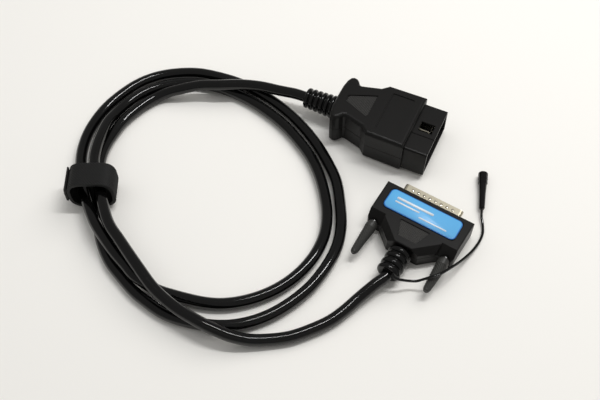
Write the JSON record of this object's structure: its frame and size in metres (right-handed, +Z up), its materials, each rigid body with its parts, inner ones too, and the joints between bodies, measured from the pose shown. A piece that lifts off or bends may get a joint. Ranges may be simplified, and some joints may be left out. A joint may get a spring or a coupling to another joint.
{
  "type": "vehicle diagnostic adaptor cable",
  "caption": "Coiled black adaptor cable joining a diagnostic plug with a keyed shroud to a D-sub plug with captive thumbscrews, with a strap round the loop and a thin side lead.",
  "frame": {"origin": "on the resting plane, under the centre of the box round the two plugs, leaving out the cable, strap and thin lead", "axes": "+X is the diagnostic plug's mating direction, +Z is up from the table the set lies on, +Y completes the frame and is close to the D-sub plug's mating direction"},
  "size_m": [0.2571, 0.1945, 0.0248],
  "materials": {
    "black_housing": "finely textured moulded black plastic",
    "black_insert": "matt black plastic",
    "tinned_contact": "tin-plated brass",
    "tinned_shell": "pale yellow-tinned steel, satin",
    "plated_steel": "nickel-plated steel",
    "boot_rubber": "soft black rubber, satin",
    "thumbscrew_plastic": "dull black knurled plastic",
    "circuit_board": "green solder mask",
    "blue_label": "glossy blue film over a plate",
    "cable_jacket": "glossy black PVC",
    "strap_weave": "black woven hook-and-loop tape"
  },
  "bodies": {
    "adaptor": {"obd_upper_shell": "black_housing", "obd_lower_shell": "black_housing", "obd_shroud": "black_housing", "db25_upper_hood": "black_housing", "db25_lower_hood": "black_housing", "obd_insert": "black_insert", "db25_insulator": "black_insert", "obd_pin_1": "tinned_contact", "obd_pin_2": "tinned_contact", "obd_pin_3": "tinned_contact", "obd_pin_4": "tinned_contact", "obd_pin_5": "tinned_contact", "obd_pin_6": "tinned_contact", "obd_pin_7": "tinned_contact", "obd_pin_8": "tinned_contact", "obd_pin_9": "tinned_contact", "obd_pin_10": "tinned_contact", "obd_pin_11": "tinned_contact", "obd_pin_12": "tinned_contact", "obd_pin_13": "tinned_contact", "obd_pin_14": "tinned_contact", "obd_pin_15": "tinned_contact", "obd_pin_16": "tinned_contact", "db25_pin_row_upper": "tinned_contact", "db25_pin_row_lower": "tinned_contact", "lead_socket_contact": "tinned_contact", "db25_front_shell": "tinned_shell", "db25_rear_shell": "tinned_shell", "obd_case_screw_1": "plated_steel", "obd_case_screw_2": "plated_steel", "obd_cable_boot": "boot_rubber", "db25_cable_boot": "boot_rubber", "lead_socket_sleeve": "boot_rubber", "obd_circuit_board": "circuit_board", "db25_circuit_board": "circuit_board", "db25_label_plate": "blue_label", "main_cable": "cable_jacket", "lead_wire": "cable_jacket", "hook_and_loop_strap": "strap_weave", "strap_overlap_end": "strap_weave"},
    "left_ring": {"db25_retaining_ring_left": "plated_steel"},
    "right_ring": {"db25_retaining_ring_right": "plated_steel"},
    "left_screw": {"db25_thumbscrew_handle_left": "thumbscrew_plastic", "db25_jackscrew_left": "plated_steel"},
    "right_screw": {"db25_thumbscrew_handle_right": "thumbscrew_plastic", "db25_jackscrew_right": "plated_steel"}
  },
  "joints": [
    {"name": "left_screw_float", "type": "slide", "parent": "adaptor", "child": "left_ring", "axis": [-0.1219, -0.9925, 0], "range_m": [0, 0.003]},
    {"name": "left_screw_turn", "type": "hinge", "parent": "left_ring", "child": "left_screw", "pos_m": [0.01173, -0.01594, 0.0074], "axis": [0.1219, 0.9925, 0], "continuous": true},
    {"name": "right_screw_float", "type": "slide", "parent": "adaptor", "child": "right_ring", "axis": [-0.1219, -0.9925, 0], "range_m": [0, 0.003]},
    {"name": "right_screw_turn", "type": "hinge", "parent": "right_ring", "child": "right_screw", "pos_m": [0.05842, -0.02167, 0.0074], "axis": [0.1219, 0.9925, 0], "continuous": true}
  ]
}
